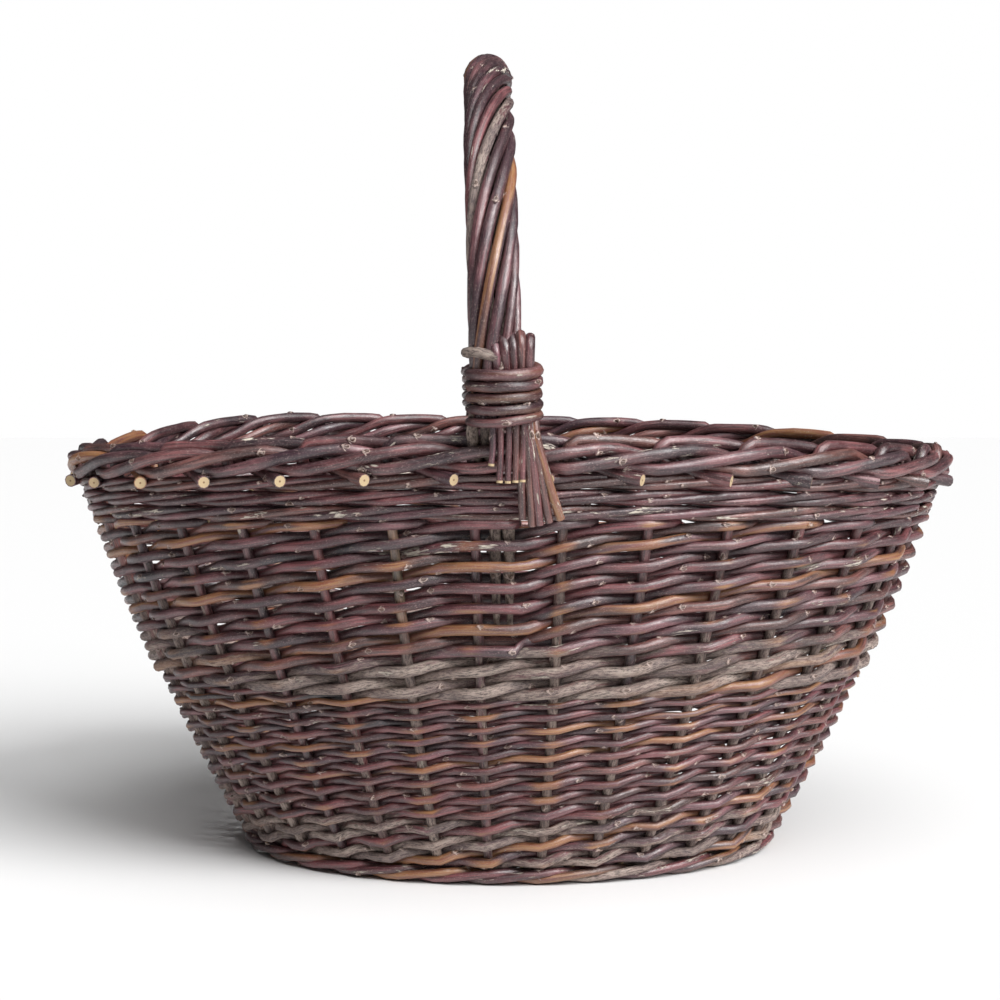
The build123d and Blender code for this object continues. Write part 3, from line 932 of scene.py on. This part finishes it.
FOOT_LEAN = 0.009
STRAND_TURNS = 2.75
STRAND_EASE = 0.32
STRAND_STEPS = 44
BOW_STEPS = 24
COLLAR_STEPS = 12
COLLAR_SIDE = 0.0029
COLLAR_OUT = 0.0015
COLLAR_WAVER = 0.0005
COLLAR_LIFT = 0.0062
STRAND_LIFT = 0.0048


class Bow:
    """The arch of the handle, out of the front wall and into the back wall."""

    def __init__(self, wall):
        self.wall = wall
        self.sizes = bpy.context.scene.basket_handle
        sizes = self.sizes
        top = wall.sizes.wall_height
        front, front_along, _ = wall.frame(0, top)
        back, back_along, _ = wall.frame(HALF, top)
        self.front_x = (front + front_along * sizes.bow_offset).x
        self.back_x = (back + back_along * sizes.bow_offset).x
        self.start = math.asin((front.z - sizes.spring) / sizes.rise)
        self.half_span = -front.y / math.cos(self.start)

    def at(self, turn):
        """Point of the bow's middle line at an angle of its arch, zero at the front."""
        sizes = self.sizes
        foot_x = self.front_x if turn < math.pi / 2 else self.back_x
        low = math.sin(self.start)
        share = (math.sin(turn) - low) / (1 - low)
        return Vector((
            foot_x + (sizes.top_x - foot_x) * share,
            -self.half_span * math.cos(turn),
            sizes.spring + sizes.rise * math.sin(turn),
        ))

    def lean(self, share):
        """How far the sticks are pushed aside at the feet of the arch, by the tails bound beside them."""
        return FOOT_LEAN * (math.exp(-(((1 - share) / 0.05) ** 2)) - math.exp(-((share / 0.05) ** 2)))

    def foot(self, back, knots):
        """Points beside the front foot, given in millimetres, or the ones like them at the back foot."""
        points = [Vector(knot) * MM for knot in knots]
        if back:
            points = [Vector((self.front_x + self.back_x - x, -y, z)) for x, y, z in points]
        return points

    def frame(self, turn):
        """Point, direction along the bow, direction to its right and direction out of the arch."""
        along = (self.at(turn + 0.01) - self.at(turn - 0.01)).normalized()
        side = Vector((1, 0, 0))
        side = (side - along * along.dot(side)).normalized()
        return self.at(turn), along, side, side.cross(along)


def bow_stick(bow, face, draw):
    """One of the two sticks of the bow, from its point in the front wall to that in the back."""
    wall, sizes = bow.wall, bow.sizes
    aside = face * (sizes.bow / 2 + TOUCH)
    top = wall.sizes.wall_height
    knots = []
    for share in BOW_FOOT_SHARES:
        point, along, _ = wall.frame(0, top * share)
        knots.append(point + along * (sizes.bow_offset + aside))
    for step in range(BOW_STEPS + 1):
        share = step / BOW_STEPS
        point, _, side, _ = bow.frame(bow.start + (math.pi - 2 * bow.start) * share)
        knots.append(point + side * (aside + bow.lean(share)))
    for share in BOW_FOOT_SHARES[::-1]:
        point, along, _ = wall.frame(HALF, top * share)
        knots.append(point + along * (sizes.bow_offset - aside))
    diameters = [sizes.bow * share for share in (0.4, 0.85)] + [sizes.bow * 0.97] * (len(knots) - 4)
    bark = {"colour": [0.13, 0.10, 0.075], "rough": 1.0, "peel": 0.3, "orange": 0.0}
    return bend_rod(knots, diameters + diameters[1::-1], bark, draw, bud_spacing=0.09)


def strand_radius(sizes):
    """Distance from the bow's middle line to a strand's."""
    return sizes.bow + sizes.strand / 2 + sizes.strand_room


def roping_strand(bow, number, draw):
    """One strand, wound round the bow from one collar to the other, steeper at the top."""
    sizes = bow.sizes
    low = bow.start + (STRAND_LIFT + sizes.collar / 2) / sizes.rise
    knots = []
    for step in range(STRAND_STEPS + 1):
        share = step / STRAND_STEPS
        point, _, side, out = bow.frame(low + (math.pi - 2 * low) * share)
        wind = share - STRAND_EASE * math.sin(math.tau * share) / math.tau
        angle = math.tau * (number / sizes.strands - STRAND_TURNS * wind)
        radial = side * math.cos(angle) + out * math.sin(angle)
        knots.append(point + radial * (strand_radius(sizes) + draw.uniform(-0.0002, 0.0002)))
    kinds = (("maroon", 6), ("purple", 4), ("brown", 2))
    bark = pick_bark(draw, 0.1, kinds)
    thick = draw.uniform(0.94, 1.1)
    return bend_rod(knots, [sizes.strand * thick] * len(knots), bark, draw, bud_spacing=0.055)


def collar_rod(bow, turn, draw):
    """The rod that binds a foot of the handle in close turns, with both its ends tucked in."""
    sizes = bow.sizes
    point, along, side, out = bow.frame(turn)
    radius = strand_radius(sizes) + sizes.strand / 2 + sizes.collar / 2 + 0.0008
    if turn > math.pi / 2:
        along, side = -along, -side
    point = point + side * COLLAR_SIDE + out * COLLAR_OUT
    knots = []
    steps = sizes.collar_turns * COLLAR_STEPS
    shift = [draw.uniform(-COLLAR_WAVER, COLLAR_WAVER) for _ in range(steps + 1)]
    for step in range(-2, steps + 3):
        share = step / steps
        angle = math.tau * (sizes.collar_turns * share - 0.2)
        done = sizes.collar_turns * share + math.cos(angle) / math.tau
        climb = sizes.collar_pitch * (sizes.collar_turns / 2 - done)
        beyond = max(0, -step, step - steps)
        reach = radius * (1 + 0.10 * max(0, share - 0.55)) - 0.0045 * beyond + shift[step % steps]
        climb += 0.0012 * math.cos(angle) * max(0, share - 0.7) / 0.3 + shift[(step * 7) % steps] * 0.7
        knots.append(point + (side * math.cos(angle) + out * math.sin(angle)) * reach + along * climb)
    last = len(knots) - 1
    diameters = [sizes.collar * (1.1 - 0.3 * number / last) for number in range(last + 1)]
    bark = {"colour": [0.10, 0.022, 0.030], "rough": 0.0, "peel": 0.45, "orange": 0.25}
    return bend_rod(knots, diameters, bark, draw, bud_spacing=0.07, tightness=0.34)


# Ends at the front foot, in millimetres along the basket and up. A tail: where it is bound, where
# it is cut, its fold over the collar, the fold's top, and how far the fold leans
TAILS = (
    (-8.1, -9.0, 215.0, -6.2, 261.5, 270.0, -1.3),
    (-4.7, -5.2, 207.4, -2.1, 262.0, 271.9, -1.3),
    (-1.0, -1.5, 207.2, 1.4, 262.5, 272.9, -1.0),
    (2.3, 1.9, 207.5, 4.8, 262.5, 273.8, -0.6),
    (5.7, 5.1, 207.8, 7.9, 262.0, 273.1, 0.6),
)
# A rod bound beside them: where it is bound and crosses the border, its end, and its thickness
BUNCH = (
    (5.5, 4.6, 5.3, 190.5, 3.6),
    (6.6, 8.0, 9.6, 187.2, 3.7),
    (8.0, 10.4, 13.0, 187.8, 4.2),
    (9.6, 13.2, 17.4, 189.0, 3.8),
    (11.0, 15.6, 22.6, 190.3, 3.9),
)


def strand_tail(bow, back, tail, draw):
    """A strand's end: folded over above the collar, bound by it and cut off below."""
    bound_x, end_x, end_z, fold_x, fold_z, top_z, turn = tail
    knots = [
        (end_x, -179.0, end_z),
        (bound_x, -179.0, 224),
        (bound_x, -179.0, 232),
        (bound_x * 0.5 + fold_x * 0.5, -178.2, 245),
        (fold_x, -179.8, fold_z - 4),
        (fold_x + turn / 2, -181.6, (fold_z + top_z) / 2),
        (fold_x + turn, -179.4, top_z),
        (fold_x + turn, -175.6, top_z - 2.0),
        (fold_x + turn, -174.0, fold_z - 3),
    ]
    diameters = [0.0029, 0.0029, 0.003, 0.0035, 0.0040, 0.0044, 0.0045, 0.0045, 0.0042]
    bark = pick_bark(draw, 0.0, (("maroon", 4), ("purple", 2), ("brown", 2)))
    return bend_rod(bow.foot(back, knots), diameters, bark, draw, bud_spacing=0.05)


def bound_rod(bow, back, rod, draw):
    """A rod bound beside the strands' tails, spread over the border and cut off below it."""
    bound_x, border_x, end_x, end_z, diameter = rod
    knots = [
        (bound_x - 1.5, -173.5, 250),
        (bound_x - 0.5, -177.0, 236),
        (bound_x + 0.3, -178.2, 228),
        (border_x, -177.8, 213),
        ((border_x + end_x) / 2, -173.6, 201),
        (end_x, -169.6, end_z),
    ]
    bark = pick_bark(draw, 0.0, (("maroon", 4), ("brown", 3)))
    bark["peel"] = 0.75
    return bend_rod(bow.foot(back, knots), [diameter * MM] * len(knots), bark, draw, bud_spacing=0.05)


def tucked_rod(bow, back, draw):
    """The end of a thick rod, laid level across the handle above its collar."""
    knots = [
        (-18.5, -158, 265.6),
        (-20.6, -166, 265.9),
        (-17.5, -175.5, 266.2),
        (-12, -180.8, 265.2),
        (-7.5, -181.4, 264.0),
        (-4.2, -179.5, 263.1),
        (-2.6, -174, 262.6),
    ]
    bark = {"colour": [0.12, 0.07, 0.055], "rough": 1.0, "peel": 0.7, "orange": 0.1}
    return bend_rod(bow.foot(back, knots), [0.0048] * len(knots), bark, draw, bud_spacing=0)


class HandleOperator(bpy.types.Operator):
    """Bow of two sticks, roped with strands and bound at both feet"""

    bl_idname = "basket.handle"
    bl_label = "Handle"

    def execute(self, context):
        bow = Bow(Wall())
        sizes = bow.sizes
        draw = random.Random(21)
        bow_bark = bark_material("bow_bark", (0.20, 0.16, 0.11), 1.8, 0.55)
        rope_bark = bark_material("roping_bark", (0.24, 0.10, 0.10), 1.2, 0.33)
        finish_rods("bow_left_stick_bark", "bow_left_stick", [bow_stick(bow, -1, draw)], bow_bark)
        finish_rods("bow_right_stick_bark", "bow_right_stick", [bow_stick(bow, 1, draw)], bow_bark)
        strands = [roping_strand(bow, number, draw) for number in range(sizes.strands)]
        finish_rods("handle_roping", "roping_strands", strands, rope_bark)
        reach = (sizes.collar_turns - 1) / 2 * sizes.collar_pitch
        turn = bow.start + (COLLAR_LIFT + sizes.collar / 2 + reach) / sizes.rise
        collars = [collar_rod(bow, turn, draw), collar_rod(bow, math.pi - turn, draw)]
        for back in (False, True):
            collars.append(tucked_rod(bow, back, draw))
            collars += [strand_tail(bow, back, tail, draw) for tail in TAILS]
            collars += [bound_rod(bow, back, rod, draw) for rod in BUNCH]
        finish_rods("handle_collars_and_tails", "collar_bindings", collars, rope_bark)
        return {"FINISHED"}


# Stage: the suns' places, widths in degrees and strengths, and the photo's camera

SUNS = {
    "key": ((1.0, -0.85, 0.95), 34, 3.6),
    "front": ((0.3, -0.75, 1.5), 46, 1.9),
}
ROOM_LIGHT = 0.08
PHOTO_LENS = 65.9
PHOTO_PLACE = (-0.005, -1.0, 0.258)
PHOTO_TILT = 4.06


class StageOperator(bpy.types.Operator):
    """Pale floor with its backdrop, soft lights and the camera"""

    bl_idname = "basket.stage"
    bl_label = "Stage"

    def execute(self, context):
        bark = context.scene.basket_bark
        deselect()
        bpy.ops.mesh.primitive_plane_add(size=12, location=(0, 0, 0))
        floor = context.object
        floor.name = "floor"
        bpy.ops.object.transform_apply(location=True, rotation=True, scale=True)
        recipe = Recipe("pale_floor")
        recipe.skin.inputs["Base Color"].default_value = (*bark.floor, 1)
        recipe.skin.inputs["Roughness"].default_value = 0.9
        floor.data.materials.append(recipe.material)

        world = bpy.data.worlds.new("soft_room")
        world.use_nodes = True
        tree = world.node_tree
        room = tree.nodes["Background"]
        room.inputs["Color"].default_value = (1, 1, 1, 1)
        room.inputs["Strength"].default_value = ROOM_LIGHT
        white = tree.nodes.new("ShaderNodeBackground")
        white.inputs["Color"].default_value = (1, 1, 1, 1)
        seen = tree.nodes.new("ShaderNodeLightPath")
        both = tree.nodes.new("ShaderNodeMixShader")
        tree.links.new(seen.outputs["Is Camera Ray"], both.inputs[0])
        tree.links.new(room.outputs[0], both.inputs[1])
        tree.links.new(white.outputs[0], both.inputs[2])
        tree.links.new(both.outputs[0], tree.nodes["World Output"].inputs[0])
        context.scene.world = world
        for name, (place, width, power) in SUNS.items():
            light = bpy.data.lights.new(name, "SUN")
            light.angle = math.radians(width)
            light.energy = power
            lamp = bpy.data.objects.new(name, light)
            lamp.rotation_euler = (-Vector(place)).to_track_quat("-Z", "Y").to_euler()
            context.scene.collection.objects.link(lamp)

        camera = bpy.data.cameras.new("photo_camera")
        camera.sensor_width = 36
        camera.lens = PHOTO_LENS
        camera.clip_end = 50
        viewer = bpy.data.objects.new("photo_camera", camera)
        viewer.location = PHOTO_PLACE
        viewer.rotation_euler = (math.radians(90 - PHOTO_TILT), 0, 0)
        context.scene.collection.objects.link(viewer)
        context.scene.camera = viewer
        context.scene.view_settings.view_transform = "Standard"
        return {"FINISHED"}


class BasketPanel(bpy.types.Panel):
    """Steps that build the basket, and its sizes and colours"""

    bl_idname = "BASKET_PT_build"
    bl_label = "Market basket"
    bl_space_type = "VIEW_3D"
    bl_region_type = "UI"
    bl_category = "Basket"

    def draw(self, context):
        for operator in OPERATORS:
            self.layout.operator(operator.bl_idname)
        for group in settings():
            box = self.layout.box()
            for name in group.bl_rna.properties.keys():
                if name not in {"rna_type", "name"}:
                    box.prop(group, name)


GROUPS = {
    "basket_wall": BasketWall,
    "basket_rods": BasketRods,
    "basket_handle": BasketHandle,
    "basket_bark": BasketBark,
}
OPERATORS = (StageOperator, BaseOperator, StakesOperator, RandOperator, WalesOperator, HandleOperator)


def register():
    """Add the basket's properties, operators and panel."""
    for kind in (*GROUPS.values(), *OPERATORS, BasketPanel):
        bpy.utils.register_class(kind)
    for name, kind in GROUPS.items():
        setattr(bpy.types.Scene, name, bpy.props.PointerProperty(type=kind))


def unregister():
    """Take them away again."""
    for name in GROUPS:
        delattr(bpy.types.Scene, name)
    for kind in reversed((*GROUPS.values(), *OPERATORS, BasketPanel)):
        bpy.utils.unregister_class(kind)


def main():
    """Build the basket and its stage."""
    register()
    bpy.ops.basket.stage()
    bpy.ops.basket.base()
    bpy.ops.basket.stakes()
    bpy.ops.basket.rand_rods()
    bpy.ops.basket.wales()
    bpy.ops.basket.handle()


if __name__ == "__main__":
    main()
